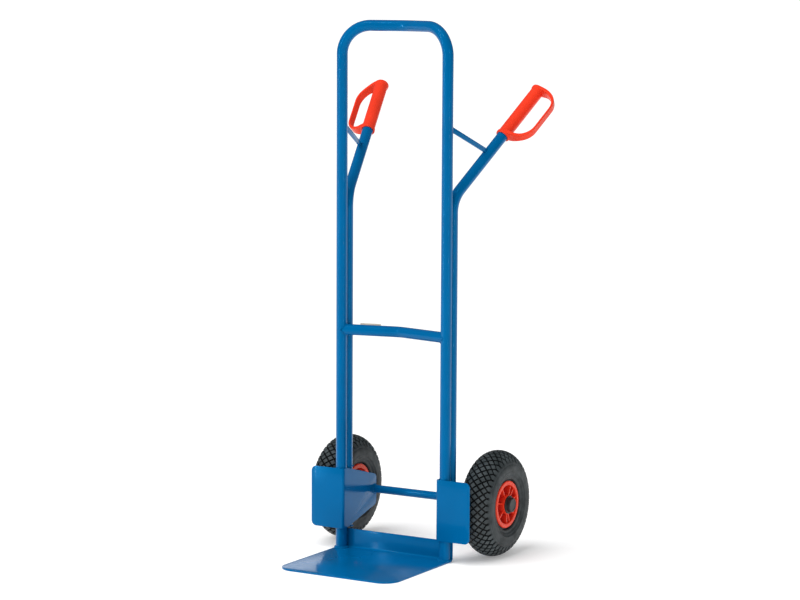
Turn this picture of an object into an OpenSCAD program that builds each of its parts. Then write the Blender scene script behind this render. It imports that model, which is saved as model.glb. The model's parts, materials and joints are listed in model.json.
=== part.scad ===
// Two-wheeled hand truck in welded tube and sheet.
// Axes: X to the truck's right, Y to the back, Z up. The origin is on the floor, on the centre
// plane, under the front face of the hoop's two legs. The toe plate reaches towards -Y.

/* [Frame] */
// Overall height, from the floor to the top of the hoop
overall_h = 1300; // [1150:10:1400]
// Width over the two legs of the hoop
frame_w = 320; // [280:5:400]
// Outside diameter of the frame tubes
tube_d = 26.9; // [21.3:0.1:32]
// Wall of the frame tubes
tube_wall = 2; // [1.5:0.1:3]
// Centre-line radius of the hoop's two top corners
hoop_corner_r = 70; // [50:1:100]
// Angle by which each half of the top bar runs backwards
top_bow = 18; // [5:1:24]
// Centre-line radius of the bend in the middle of the top bar
top_bow_r = 90; // [40:5:150]
// Height of the crossbar's centre line
crossbar_z = 547; // [400:1:750]
// Angle by which each half of the crossbar runs backwards
cross_bow = 12; // [5:1:24]
// Centre-line radius of the bend in the middle of the crossbar
cross_bow_r = 60; // [40:5:150]

/* [Handles] */
// Distance below the hoop's top at which the handle tubes leave the legs
handle_drop = 455; // [380:1:540]
// Centre-line radius of the handle bend
handle_bend_r = 70; // [50:1:120]
// Angle from upright to the bent part of a handle
handle_rake = 50; // [30:1:60]
// Angle by which the handles spread outwards, seen from above
handle_splay = 15; // [0:1:30]
// Length of a handle from the corner of its bend to its outer end
handle_reach = 388; // [320:1:450]
// Distance below the hoop's top at which the strut meets the leg
strut_drop = 248; // [200:1:300]
// Distance along the handle from the grip's inner end to the strut
strut_gap = 55; // [30:1:80]
// Width of the strut's flat bar
strut_w = 12; // [10:1:25]
// Thickness of the strut's flat bar
strut_t = 5; // [3:1:8]

/* [Grips] */
// Length of a grip along its handle
grip_len = 170; // [140:1:190]
// Wall of the grip's sleeve
grip_wall = 2.6; // [2:0.1:4]
// Wall of the collars at the two ends of the sleeve
grip_collar_wall = 4.6; // [3:0.1:6]
// Length of a collar
grip_collar_len = 8; // [5:1:14]
// Distance from the handle's axis to the outside of the hand guard
guard_reach = 64; // [54:1:80]
// Distance from the grip's inner end to the hand guard
guard_start = 5; // [0:1:15]
// Width of the hand guard's strap where it leaves the sleeve
guard_root_w = 34; // [28:1:38]
// Width of the hand guard's strap along its straight part
guard_strap_w = 20; // [14:1:28]
// Thickness of the hand guard's strap along its straight part
guard_strap_t = 5; // [3:0.5:8]
// Thickness of the hand guard's strap where it leaves the sleeve
guard_root_t = 9; // [5:0.5:12]
// Radius of the hand guard's two outer corners
guard_corner_r = 46; // [30:1:50]
// Turn of the hand guard below level
guard_roll = 21; // [0:1:45]

/* [Wheel guards] */
// Thickness of the guards' sheet
sheet_t = 3; // [2:0.5:4]
// Outside radius of the fold
fold_r = 6; // [4:0.5:9]
// Height of a guard above the axle's centre
plate_above = 74; // [66:1:90]
// Depth of a guard below the axle's centre
plate_below = 76; // [66:1:90]
// Distance from the outside of a leg to a guard's outer edge
plate_out = 63; // [50:1:75]
// Corner radius of the guards
plate_corner_r = 13; // [6:1:20]
// Slope of the upper and lower edges of a guard's side
plate_taper = 15; // [8:0.5:20]
// Distance by which the axle stands out of the round cut in the guards' back edge
plate_open = 2.5; // [1:0.5:5]

/* [Toe plate] */
// Reach of the toe plate in front of the legs
toe_reach = 264; // [200:1:320]
// Thickness of the toe plate
toe_t = 4; // [3:0.5:6]
// Radius of the toe plate's front corners
toe_corner_r = 42; // [15:1:60]
// Gap between the flange behind the legs and the guards above it
toe_flange_gap = 4; // [2:0.5:15]
// Inside radius of the bend between plate and flange
toe_bend_r = 5; // [3:0.5:8]

/* [Axle] */
// Diameter of the axle
axle_d = 20; // [16:1:24]
// Radial running clearance of the roller bearings on the axle
run_clear = 0.05; // [0.02:0.01:0.1]

/* [Wheels] */
// Width of the tyres
tyre_w = 85; // [78:1:95]
// Thickness of the tyres' carcass
tyre_wall = 6; // [4:0.5:7]
// Depth of the tyres' round section below the edge of the rim
tyre_sink = 13; // [11:0.5:15]
// Gap between the front of the legs and the front of the tyres
tyre_front_gap = 16.5; // [10:0.5:40]
// Gap between a leg and the side of its tyre
tyre_leg_gap = 9.5; // [6:0.5:20]
// Outside diameter of the rim's flanges
rim_d = 116; // [104:1:130]
// Width over the rim's two flanges
rim_w = 69; // [62:1:75]
// Number of main ribs in a rim
rib_count = 7; // [5:1:9]
// Length of the hub
hub_len = 75; // [66:1:85]
// Distance by which the hub cap stands out from the hub
cap_h = 12; // [10:1:16]

/* [Hidden] */
$fn = 96;

// Gap of parts that are pushed or laid together
fit = 0.05;
// How far straight tubes reach into their bends, and how much thicker a bend's wall is
lap = 0.3;
swell = 0.1;

// Places shared by several pieces
leg_x = (frame_w - tube_d) / 2;
leg_y = tube_d / 2;
rear_y = leg_y + tube_d + swell;
tyre_d = rim_d + 2 * (tyre_w - tyre_sink);
wheel_x = frame_w / 2 + tyre_leg_gap + tyre_w / 2;
wheel_z = tyre_d / 2;
axle_y = tyre_front_gap + tyre_d / 2;
handle_bend_z = overall_h - handle_drop;
handle_corner_z = handle_bend_z + handle_bend_r * tan(handle_rake / 2);
strut_z = overall_h - strut_drop;
strut_reach = handle_reach - grip_len - strut_gap;

// Rating plate
plate_label = [53, 0.8, 25];
plate_label_x = -78;
plate_label_rise = 2;

// Wheel guard
plate_x = leg_x - tube_d / 2 - sheet_t;
plate_y = axle_y + axle_d / 2 - plate_open;
plate_z = wheel_z - plate_below;
plate_h = plate_below + plate_above;
plate_reach = frame_w / 2 + plate_out;
plate_taper_y = 14;
toe_flange_h = plate_z - toe_flange_gap;

// Hub: bearing, washers and clips on the axle
sleeve_wall = 1.5;
sleeve_d = axle_d + 13;
roller_d = (sleeve_d - 2 * sleeve_wall - axle_d) / 2 - 2 * run_clear;
roller_count = 10;
roller_len = 30;
cage_len = 34;
washer_t = 2;
washer_d = axle_d + 11;
clip_t = 1.2;
clip_d = axle_d + 7;
axle_end_gap = 2.5;
hub_end_gap = 0.4;
spacer_wall = 3;
cap_wall = 2;
cap_gap = 0.5;
cap_d = washer_d + 2 * (cap_gap + cap_wall);
cap_flange_t = 2.5;
cap_flange_d = cap_d + 8;
hub_d = cap_flange_d + 4;

// Rim and tyre
flange_h = 7.2;
flange_t = 5;
bead_d = rim_d - 2 * flange_h;
barrel_wall = 3.3;
barrel_d = bead_d - 2 * barrel_wall;
web_t = 4;
web_z = 12;
rib_t = 5;
rib_drop = 3;
rib_first = 14;
seam_turn = 25;
branch_ribs = [44, -71];
inner_window_d = 15;
screw_ring_r = barrel_d / 2 - 11.5;
screw_d = 4;
screw_len = 26;
screw_head = [8, 3];
boss_d = 10;
bead_w = 9;
seat_w = rim_w / 2 - flange_t;

// Inner tube: round, as large as fits between the tyre's beads and well inside its carcass
tube_gap = 0.5;
tube_fill = 0.8;
tube_rise = flange_h - fit;
tube_between = (pow(tube_rise, 2) + pow(seat_w - bead_w, 2) - pow(tube_gap, 2))
    / (2 * (tube_gap + tube_rise));
tube_section_r = min(tube_between, tube_fill * (tyre_w / 2 - tyre_wall));
tube_skin = 1.6;

// Valve: its stem stands beside the rim's split plane
valve_d = 8;
valve_z = 12;
valve_stem_r = barrel_d / 2 - 8;
valve_root = fit + 0.25 + tube_section_r
    - sqrt(pow(tube_section_r, 2) - pow(valve_z - valve_d / 2, 2));

blue = "#0068ad";
red = "#e8321f";
black = "#222424";
steel = "#b4b6b8";
zinc = "#c9c7b6";

// ---- bent tubes: each stretch starts at the origin and heads along +Z ----
module ring(d, wall) {
    difference() {
        circle(d = d);
        circle(d = d - 2 * wall);
    }
}

// A straight stretch laps a hair into the bends at its ends
module run(length) {
    translate([0, 0, -lap]) linear_extrude(length + 2 * lap) ring(tube_d, tube_wall);
}

// A bend turns the tube from +Z towards +X. Its wall is a hair thicker, so that it joins the
// straight stretches face inside face.
module bend(r, angle) {
    translate([r, 0, 0]) rotate([90, 0, 0]) rotate([0, 0, 180 - angle])
        rotate_extrude(angle = angle) translate([r, 0])
            ring(tube_d + 2 * swell, tube_wall + 2 * swell);
}

module after_bend(r, angle) {
    translate([r * (1 - cos(angle)), 0, r * sin(angle)]) rotate([0, angle, 0]) children();
}

// A bar that heads along +X, bowed towards +Y with one bend in its middle
module bowed_bar(span, bow, bow_r) {
    length = span / 2 / cos(bow) - bow_r * tan(bow);
    rotate([0, 0, bow]) rotate([0, 90, 0]) {
        run(length);
        translate([0, 0, length]) rotate([0, 0, -90]) {
            bend(bow_r, 2 * bow);
            after_bend(bow_r, 2 * bow) run(length);
        }
    }
}

module both_sides() {
    children();
    mirror([1, 0, 0]) children();
}

module left_side() {
    mirror([1, 0, 0]) children();
}

// ---- frame ----
module hoop() {
    top_z = overall_h - tube_d / 2;
    corner_z = top_z - hoop_corner_r;
    corner_x = leg_x - hoop_corner_r * cos(top_bow);
    difference() {
        color(blue) {
            both_sides() translate([-leg_x, leg_y, 0]) {
                translate([0, 0, toe_t]) run(corner_z - toe_t);
                translate([0, 0, corner_z]) rotate([0, 0, top_bow]) bend(hoop_corner_r, 90);
            }
            translate([-corner_x, leg_y + hoop_corner_r * sin(top_bow), top_z])
                bowed_bar(2 * corner_x, top_bow, top_bow_r);
        }
        toe_plate_shape();
    }
}

module crossbar() {
    difference() {
        color(blue) translate([-leg_x, leg_y, crossbar_z])
            bowed_bar(2 * leg_x, cross_bow, cross_bow_r);
        both_sides() translate([leg_x, 0, crossbar_z - tube_d]) {
            for (y = [leg_y, rear_y]) translate([0, y, 0])
                cylinder(d = tube_d + 2 * fit, h = 2 * tube_d);
            translate([-tube_wall, leg_y, 0]) cube([tube_d, rear_y - leg_y, 2 * tube_d]);
        }
    }
}

// A blank plate, fixed upright to the back of the crossbar's left half
module rating_plate() {
    from_leg = leg_x + plate_label_x;
    color("#e6d9c0") translate([-leg_x, leg_y, crossbar_z]) rotate([0, 0, cross_bow])
        translate([from_leg / cos(cross_bow) - plate_label[0] / 2, tube_d / 2,
                   tube_d / 2 + plate_label_rise - plate_label[2]])
            cube(plate_label);
}

// Puts a piece on the right handle, with +Z along the handle and 0 at the corner of its bend
module on_handle() {
    translate([leg_x, rear_y, handle_corner_z]) rotate([0, 0, 90 - handle_splay])
        rotate([0, handle_rake, 0]) children();
}

module handle_tube() {
    tangent = handle_bend_r * tan(handle_rake / 2);
    color(blue) {
        translate([leg_x, rear_y, plate_z]) run(handle_bend_z - plate_z);
        translate([leg_x, rear_y, handle_bend_z]) rotate([0, 0, 90 - handle_splay])
            bend(handle_bend_r, handle_rake);
        on_handle() translate([0, 0, tangent]) run(handle_reach - tangent - lap);
    }
}

// Flat bar from the hoop's leg to the handle, cut to fit both tubes
module strut() {
    away = strut_reach * sin(handle_rake);
    over = [away * sin(handle_splay), rear_y - leg_y + away * cos(handle_splay),
            handle_corner_z + strut_reach * cos(handle_rake) - strut_z];
    flat = norm([over[0], over[1]]);
    difference() {
        color(blue) translate([leg_x, leg_y, strut_z]) rotate([0, 0, atan2(over[1], over[0])])
            rotate([0, -atan2(over[2], flat), 0])
                translate([0, -strut_t / 2, -strut_w / 2]) cube([norm(over), strut_t, strut_w]);
        translate([leg_x, leg_y, strut_z - 2 * strut_w]) cylinder(d = tube_d, h = 4 * strut_w);
        on_handle() translate([0, 0, strut_reach - 2 * strut_w])
            cylinder(d = tube_d, h = 4 * strut_w);
    }
}

// ---- grips: X points from the handle to the hand guard, Z along the handle ----
// Outline of the hand guard's loop, from the sleeve's axis out to its straight part
module guard_outline(reach, low, high, r) {
    intersection() {
        union() {
            translate([0, low]) square([reach - r, high - low]);
            translate([0, low + r]) square([reach, high - low - 2 * r]);
            for (z = [low + r, high - r]) translate([reach - r, z]) circle(r = r);
        }
        translate([0, low]) square([reach, high - low]);
    }
}

module hand_guard() {
    taper = 0.7 * guard_reach;
    root = guard_root_w / 2;
    strap = guard_strap_w / 2;
    intersection() {
        rotate([90, 0, 0]) linear_extrude(guard_root_w + 2, center = true) difference() {
            guard_outline(guard_reach, guard_start, grip_len, guard_corner_r);
            guard_outline(guard_reach - guard_strap_t, guard_start + guard_root_t,
                          grip_len - guard_root_t, guard_corner_r - guard_strap_t);
        }
        linear_extrude(2 * grip_len) polygon([
            [0, -root], [taper, -strap], [guard_reach + 1, -strap],
            [guard_reach + 1, strap], [taper, strap], [0, root]]);
    }
}

module grip() {
    end_wall = 4;
    start = handle_reach + 2 * fit + end_wall - grip_len;
    sleeve_r = tube_d / 2 + fit + grip_wall;
    collar_r = tube_d / 2 + fit + grip_collar_wall;
    color(red) on_handle() rotate([0, 0, guard_roll - 90]) translate([0, 0, start])
        difference() {
            union() {
                cylinder(r = sleeve_r, h = grip_len);
                for (z = [0, grip_len - grip_collar_len]) translate([0, 0, z])
                    cylinder(r = collar_r, h = grip_collar_len);
                hand_guard();
            }
            translate([0, 0, -1]) cylinder(d = tube_d + 2 * fit, h = grip_len - end_wall + 1);
        }
}

// ---- wheel guards ----
module fold_section() {
    reach = plate_reach - plate_x;
    translate([fold_r, 0]) square([reach - fold_r, sheet_t]);
    translate([0, fold_r]) square([sheet_t, plate_y + sheet_t - fold_r]);
    translate([fold_r, fold_r]) intersection() {
        difference() {
            circle(r = fold_r);
            circle(r = fold_r - sheet_t);
        }
        translate([-fold_r, -fold_r]) square(fold_r);
    }
}

// Fills the outside of a rounded corner at the origin; the sheet lies towards -X and -Y
module corner_cut(r) {
    difference() {
        translate([-r, -r]) square(r + 1);
        translate([-r, -r]) circle(r = r);
    }
}

// Side of a guard, Y to the right and Z up: it narrows towards the axle, with round corners
module side_outline() {
    top = plate_z + plate_h;
    r = plate_corner_r;
    corner_y = plate_y - r;
    drop = (corner_y - plate_taper_y) * tan(plate_taper) + r / cos(plate_taper);
    touch = r * [sin(plate_taper), cos(plate_taper)];
    for (half = [[top, -1], [plate_z, 1]]) {
        corner = [corner_y, half[0] + half[1] * drop];
        translate(corner) circle(r = r);
        polygon([[-sheet_t, half[0]], [plate_taper_y, half[0]],
                 corner + [touch[0], -half[1] * touch[1]], corner, corner + [r, 0],
                 [plate_y, top - plate_h / 2], [-sheet_t, top - plate_h / 2]]);
    }
}

module wheel_guard() {
    top = plate_z + plate_h;
    difference() {
        color(blue) intersection() {
            translate([plate_x, -sheet_t, plate_z]) linear_extrude(plate_h) fold_section();
            union() {
                translate([plate_x + sheet_t, -sheet_t, plate_z])
                    cube([plate_reach, fold_r, plate_h]);
                translate([plate_x - 1, 0, 0]) rotate([90, 0, 90])
                    linear_extrude(sheet_t + 1) side_outline();
            }
        }
        // rounded outer corners of the front face
        for (end = [0, 1]) translate([plate_reach, 1, end ? top : plate_z]) rotate([90, 0, 0])
            mirror([0, 1 - end]) linear_extrude(sheet_t + 2) corner_cut(plate_corner_r);
        translate([plate_x - 1, axle_y, wheel_z]) rotate([0, 90, 0])
            cylinder(d = axle_d, h = sheet_t + 2);
    }
}

// ---- toe plate ----
module toe_plate_shape() {
    bend_out = toe_bend_r + toe_t;
    back = tube_d + toe_t;
    difference() {
        translate([-frame_w / 2, 0, 0]) rotate([90, 0, 90]) linear_extrude(frame_w) {
            translate([-toe_reach, 0]) square([toe_reach + back - bend_out, toe_t]);
            translate([tube_d, bend_out]) square([toe_t, toe_flange_h - bend_out]);
            translate([back - bend_out, bend_out]) intersection() {
                difference() {
                    circle(r = bend_out);
                    circle(r = toe_bend_r);
                }
                translate([0, -bend_out]) square(bend_out);
            }
        }
        for (side = [0, 1]) mirror([side, 0, 0])
            translate([frame_w / 2, -toe_reach, -1]) mirror([0, 1, 0])
                linear_extrude(toe_t + 2) corner_cut(toe_corner_r);
    }
}

module toe_plate() {
    color(blue) toe_plate_shape();
}

// ---- axle and what is on it: Z points outwards from the middle of the right wheel ----
module at_wheel() {
    translate([wheel_x, axle_y, wheel_z]) rotate([0, 90, 0]) children();
}

module washer(outer, inner, thick) {
    linear_extrude(thick) difference() {
        circle(d = outer);
        circle(d = inner);
    }
}

module axle() {
    half = wheel_x + hub_len / 2 + hub_end_gap + washer_t + clip_t + axle_end_gap;
    color(blue) translate([0, axle_y, wheel_z]) rotate([0, 90, 0])
        cylinder(d = axle_d, h = 2 * half, center = true);
}

module axle_spacers() {
    from = plate_x + sheet_t;
    to = wheel_x - hub_len / 2 - hub_end_gap - washer_t;
    color(steel) both_sides() translate([from, axle_y, wheel_z]) rotate([0, 90, 0])
        washer(axle_d + 2 * spacer_wall, axle_d, to - from);
}

module axle_washers() {
    color(zinc) both_sides() at_wheel() {
        translate([0, 0, -hub_len / 2 - hub_end_gap - washer_t])
            washer(washer_d, axle_d, washer_t);
        translate([0, 0, hub_len / 2 + hub_end_gap]) washer(washer_d, axle_d, washer_t);
    }
}

module axle_clips() {
    color(steel) both_sides() at_wheel()
        translate([0, 0, hub_len / 2 + hub_end_gap + washer_t]) washer(clip_d, axle_d, clip_t);
}

// ---- wheels ----
module tyre() {
    section_r = tyre_w / 2;
    centre_r = tyre_d / 2 - section_r;
    bead_top = rim_d / 2 + tyre_wall;
    color(black) at_wheel() rotate_extrude(convexity = 6) difference() {
        union() {
            translate([centre_r, 0]) circle(r = section_r);
            translate([0, -seat_w]) square([bead_top, 2 * seat_w]);
        }
        translate([centre_r, 0]) circle(r = section_r - tyre_wall);
        // the beads sit on the rim, between its flanges
        translate([0, -tyre_w]) square([bead_d / 2, 2 * tyre_w]);
        translate([0, bead_w - seat_w]) square([centre_r, 2 * (seat_w - bead_w)]);
        for (side = [-1, 1]) translate([0, side > 0 ? seat_w : -seat_w - tyre_w])
            square([rim_d / 2, tyre_w]);
    }
}

module inner_tube() {
    centre_r = bead_d / 2 + fit + tube_section_r;
    color("#1b1b1b") at_wheel() rotate_extrude() translate([centre_r, 0])
        ring(2 * tube_section_r, tube_skin);
}

// Rubber valve: down through the rim's barrel, then out along the axle
module valve() {
    color("#2a2a2a") at_wheel() rotate([0, 0, 180]) translate([0, 0, -valve_z]) {
        rotate([0, 90, 0]) translate([0, 0, valve_stem_r])
            cylinder(d = valve_d, h = bead_d / 2 - valve_stem_r + valve_root);
        translate([valve_stem_r, 0, 0]) sphere(d = valve_d);
        translate([valve_stem_r, 0, -24]) cylinder(d = valve_d, h = 24);
        translate([valve_stem_r, 0, -30]) cylinder(d = valve_d - 1.5, h = 6);
    }
}

module valve_room() {
    rotate([0, 0, 180]) translate([0, 0, -valve_z]) {
        rotate([0, 90, 0]) translate([0, 0, valve_stem_r])
            cylinder(d = valve_d + 2 * fit, h = rim_d / 2);
        translate([valve_stem_r, 0, -rim_w]) cylinder(d = valve_d + 4, h = rim_w);
    }
}

// Barrel and flange of one rim half: Z from the split plane outwards
module rim_shell() {
    half = rim_w / 2;
    edge_r = 2;
    rotate([0, 0, seam_turn]) rotate_extrude(convexity = 4) {
        translate([barrel_d / 2, 0]) square([(bead_d - barrel_d) / 2, half]);
        translate([barrel_d / 2, half - flange_t])
            square([(rim_d - barrel_d) / 2 - edge_r, flange_t]);
        translate([rim_d / 2 - edge_r, half - flange_t]) square([edge_r, flange_t - edge_r]);
        translate([rim_d / 2 - edge_r, half - edge_r]) circle(r = edge_r);
    }
}

// Web and hub boss of one rim half
module rim_core() {
    rotate([0, 0, seam_turn]) {
        translate([0, 0, web_z]) cylinder(d = barrel_d + 2, h = web_t);
        cylinder(d = hub_d, h = hub_len / 2);
    }
}

// Flat rib from inside the hub boss to inside the barrel, rooted in the web
module rib(angle) {
    from = hub_d / 2 - 2;
    to = barrel_d / 2 + 1;
    low = web_z + web_t / 2;
    rotate([0, 0, angle]) translate([from, -rib_t / 2, low])
        cube([to - from, rib_t, rim_w / 2 - rib_drop - low]);
}

module screw_places() {
    for (i = [0 : rib_count - 1])
        rotate([0, 0, rib_first + 90 + i * 360 / rib_count]) translate([screw_ring_r, 0, 0])
            children();
}

module rim_outer() {
    color(red) at_wheel() difference() {
        union() {
            rim_shell();
            rim_core();
            for (i = [0 : rib_count - 1])
                rib(rib_first + 90 + i * 360 / rib_count);
            for (angle = branch_ribs) rib(angle + 90);
            screw_places() cylinder(d = boss_d, h = web_z + 1);
        }
        translate([0, 0, -1]) cylinder(d = sleeve_d, h = hub_len);
        screw_places() translate([0, 0, -1]) cylinder(d = screw_d, h = web_z + 1);
        valve_room();
    }
}

module rim_inner() {
    window_r = (hub_d + barrel_d) / 4;
    color(red) at_wheel() mirror([0, 0, 1]) difference() {
        union() {
            rim_shell();
            rim_core();
            screw_places() cylinder(d = boss_d, h = web_z + 1);
        }
        translate([0, 0, -1]) cylinder(d = sleeve_d, h = hub_len);
        screw_places() translate([0, 0, -1]) cylinder(d = screw_d, h = web_z + web_t + 2);
        for (i = [0 : rib_count - 1])
            rotate([0, 0, rib_first + 90 + (i + 0.5) * 360 / rib_count])
                translate([window_r, 0, web_z - 1])
                    cylinder(d = inner_window_d, h = web_t + 2);
        mirror([0, 0, 1]) valve_room();
    }
}

module rim_screws() {
    head_z = -web_z - web_t;
    color(zinc) at_wheel() screw_places() {
        translate([0, 0, head_z]) cylinder(d = screw_d, h = screw_len);
        translate([0, 0, head_z - screw_head[1]]) cylinder(d = screw_head[0], h = screw_head[1]);
    }
}

module bearing_sleeve() {
    color(steel) at_wheel() translate([0, 0, -hub_len / 2])
        washer(sleeve_d, sleeve_d - 2 * sleeve_wall, hub_len);
}

// Mid-way between the axle and the sleeve
roller_ring_r = (axle_d + sleeve_d - 2 * sleeve_wall) / 4;

module roller_places(z) {
    for (end = [-1, 1]) for (i = [0 : roller_count - 1])
        rotate([0, 0, i * 360 / roller_count])
            translate([roller_ring_r, 0, end * (hub_len - cage_len) / 2 - z / 2]) children();
}

module roller_cage() {
    thick = roller_d - 2.4;
    color("#d8d2bc") at_wheel() difference() {
        for (end = [-1, 1]) translate([0, 0, end * (hub_len - cage_len) / 2 - cage_len / 2])
            washer(2 * roller_ring_r + thick, 2 * roller_ring_r - thick, cage_len);
        roller_places(roller_len + 2 * fit) cylinder(d = roller_d + 2 * fit,
                                                     h = roller_len + 2 * fit);
    }
}

module rollers() {
    color(steel) at_wheel() roller_places(roller_len) cylinder(d = roller_d, h = roller_len);
}

module hub_cap() {
    inner_h = cap_h - cap_wall;
    edge_r = 2;
    color(black) at_wheel() translate([0, 0, hub_len / 2]) rotate_extrude(convexity = 4) {
        translate([cap_d / 2 - cap_wall, 0]) square([cap_wall, cap_h - edge_r]);
        translate([cap_d / 2 - cap_wall, 0])
            square([(cap_flange_d - cap_d) / 2 + cap_wall, cap_flange_t]);
        translate([0, inner_h]) square([cap_d / 2 - edge_r, cap_wall]);
        translate([cap_d / 2 - edge_r, cap_h - edge_r]) intersection() {
            circle(r = edge_r);
            square(edge_r);
        }
    }
}

hoop();
crossbar();
rating_plate();
left_side() handle_tube();  // handle_tube_left
handle_tube();  // handle_tube_right
left_side() strut();  // strut_left
strut();  // strut_right
left_side() grip();  // grip_left
grip();  // grip_right
left_side() wheel_guard();  // wheel_guard_left
wheel_guard();  // wheel_guard_right
toe_plate();
axle();
axle_spacers();
axle_washers();
axle_clips();
left_side() tyre();  // tyre_left
tyre();  // tyre_right
left_side() inner_tube();  // inner_tube_left
inner_tube();  // inner_tube_right
left_side() valve();  // valve_left
valve();  // valve_right
left_side() rim_outer();  // rim_outer_left
rim_outer();  // rim_outer_right
left_side() rim_inner();  // rim_inner_left
rim_inner();  // rim_inner_right
left_side() rim_screws();  // rim_screws_left
rim_screws();  // rim_screws_right
left_side() bearing_sleeve();  // bearing_sleeve_left
bearing_sleeve();  // bearing_sleeve_right
left_side() roller_cage();  // roller_cage_left
roller_cage();  // roller_cage_right
left_side() rollers();  // rollers_left
rollers();  // rollers_right
left_side() hub_cap();  // hub_cap_left
hub_cap();  // hub_cap_right
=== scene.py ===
"""Looks of a two-wheeled hand truck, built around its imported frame."""

import json
import logging
import math
from collections.abc import Callable, Sequence
from dataclasses import dataclass, field
from enum import Enum

import bpy
from mathutils import Matrix, Vector


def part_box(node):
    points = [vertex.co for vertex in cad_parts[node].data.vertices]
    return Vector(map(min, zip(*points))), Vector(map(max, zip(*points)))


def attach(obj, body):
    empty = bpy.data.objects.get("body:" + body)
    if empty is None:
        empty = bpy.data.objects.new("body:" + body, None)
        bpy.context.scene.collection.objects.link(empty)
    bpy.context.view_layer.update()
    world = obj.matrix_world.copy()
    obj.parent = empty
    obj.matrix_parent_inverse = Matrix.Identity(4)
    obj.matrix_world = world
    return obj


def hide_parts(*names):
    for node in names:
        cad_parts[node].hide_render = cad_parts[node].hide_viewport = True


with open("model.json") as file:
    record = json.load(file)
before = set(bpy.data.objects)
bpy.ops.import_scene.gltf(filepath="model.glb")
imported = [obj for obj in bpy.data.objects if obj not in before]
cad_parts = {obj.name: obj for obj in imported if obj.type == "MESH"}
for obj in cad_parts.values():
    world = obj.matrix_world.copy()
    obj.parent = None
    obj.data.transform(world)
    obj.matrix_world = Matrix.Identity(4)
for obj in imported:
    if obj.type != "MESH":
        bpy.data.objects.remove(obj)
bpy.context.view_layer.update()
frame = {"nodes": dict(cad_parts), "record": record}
LOG = logging.getLogger("hand_truck")

Colour = tuple[float, float, float]
Point = tuple[float, float, float]

MM = 0.001
BODY_FRAME = "frame"


class Side(Enum):
    """One side of the truck, as the sign of its X coordinates."""

    LEFT = -1
    RIGHT = 1

    @property
    def word(self) -> str:
        """Name of the side as node names end with it."""
        return self.name.lower()

    @property
    def wheel_body(self) -> str:
        """Name of the body that this side's wheel turns as."""
        return f"wheel_{self.word}"


# ---------------------------------------------------------------- finishes


class NodeBench:
    """Builds one material's node tree."""

    # the part of a noise's values that a spread and a blend run over
    SPREAD_BAND = (0.3, 0.7)
    BLEND_BAND = (0.35, 0.65)

    def __init__(self, name: str) -> None:
        """Start an empty material with a Principled shader.

        Args:
            name: the material's name.
        """
        self.material = bpy.data.materials.new(name)
        self.material.use_nodes = True
        self.tree = self.material.node_tree
        self.shader = self.tree.nodes["Principled BSDF"]
        self.coords = self.add("ShaderNodeTexCoord")

    def add(self, kind: str, **settings: object) -> bpy.types.Node:
        """Add one node.

        Args:
            kind: the node's type.
            settings: attributes to set on it.

        Returns:
            The new node.
        """
        node = self.tree.nodes.new(kind)
        for key, value in settings.items():
            setattr(node, key, value)
        return node

    def link(self, source: bpy.types.NodeSocket, target: bpy.types.NodeSocket) -> None:
        """Join two sockets."""
        self.tree.links.new(source, target)

    def noise(self, scale: float, detail: float = 3.0,
              stretch: Point = (1, 1, 1)) -> bpy.types.NodeSocket:
        """Noise that sits on the piece, with its features in metres.

        Args:
            scale: features per metre.
            detail: octaves.
            stretch: factor along each axis.

        Returns:
            The socket with values round one half.
        """
        mapping = self.add("ShaderNodeMapping")
        mapping.inputs["Scale"].default_value = stretch
        self.link(self.coords.outputs["Object"], mapping.inputs["Vector"])
        noise = self.add("ShaderNodeTexNoise")
        noise.inputs["Scale"].default_value = scale
        noise.inputs["Detail"].default_value = detail
        self.link(mapping.outputs["Vector"], noise.inputs["Vector"])
        return noise.outputs["Fac"]

    def spread(self, source: bpy.types.NodeSocket, low: float, high: float) -> bpy.types.NodeSocket:
        """Spread the middle of a noise over a range.

        Args:
            source: noise socket.
            low: value at the noise's low end.
            high: value at its high end.

        Returns:
            The socket with the spread value.
        """
        ranged = self.add("ShaderNodeMapRange")
        ends = (*self.SPREAD_BAND, low, high)
        for key, value in zip(("From Min", "From Max", "To Min", "To Max"), ends):
            ranged.inputs[key].default_value = value
        self.link(source, ranged.inputs["Value"])
        return ranged.outputs["Result"]

    def blend(self, source: bpy.types.NodeSocket, one: Colour, other: Colour) -> bpy.types.NodeSocket:
        """Blend two colours by a noise.

        Args:
            source: noise socket.
            one: colour at the noise's low end.
            other: colour at its high end.

        Returns:
            The colour socket.
        """
        ramp = self.add("ShaderNodeValToRGB")
        for stop, place, colour in zip(ramp.color_ramp.elements, self.BLEND_BAND, (one, other)):
            stop.position = place
            stop.color = (*colour, 1)
        self.link(source, ramp.inputs["Fac"])
        return ramp.outputs["Color"]

    def bumps(self, *layers: tuple[bpy.types.NodeSocket, float, float]) -> None:
        """Lay bump layers over each other on the shader.

        Args:
            layers: height socket, depth in metres and strength of each layer.
        """
        normal = None
        for height, depth, strength in layers:
            bump = self.add("ShaderNodeBump")
            bump.inputs["Distance"].default_value = depth
            bump.inputs["Strength"].default_value = strength
            self.link(height, bump.inputs["Height"])
            if normal is not None:
                self.link(normal, bump.inputs["Normal"])
            normal = bump.outputs["Normal"]
        if normal is not None:
            self.link(normal, self.shader.inputs["Normal"])

    def set(self, **sockets: float | tuple[float, ...]) -> None:
        """Set the shader's own sockets, with _ for a space in their names."""
        for key, value in sockets.items():
            self.shader.inputs[key.replace("_", " ")].default_value = value


def shade(colour: Colour, factor: float) -> Colour:
    """Make a colour darker or lighter.

    Args:
        colour: linear colour.
        factor: what to multiply it by.

    Returns:
        The new colour, each channel at most 1.
    """
    return tuple(min(1.0, channel * factor) for channel in colour)


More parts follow.
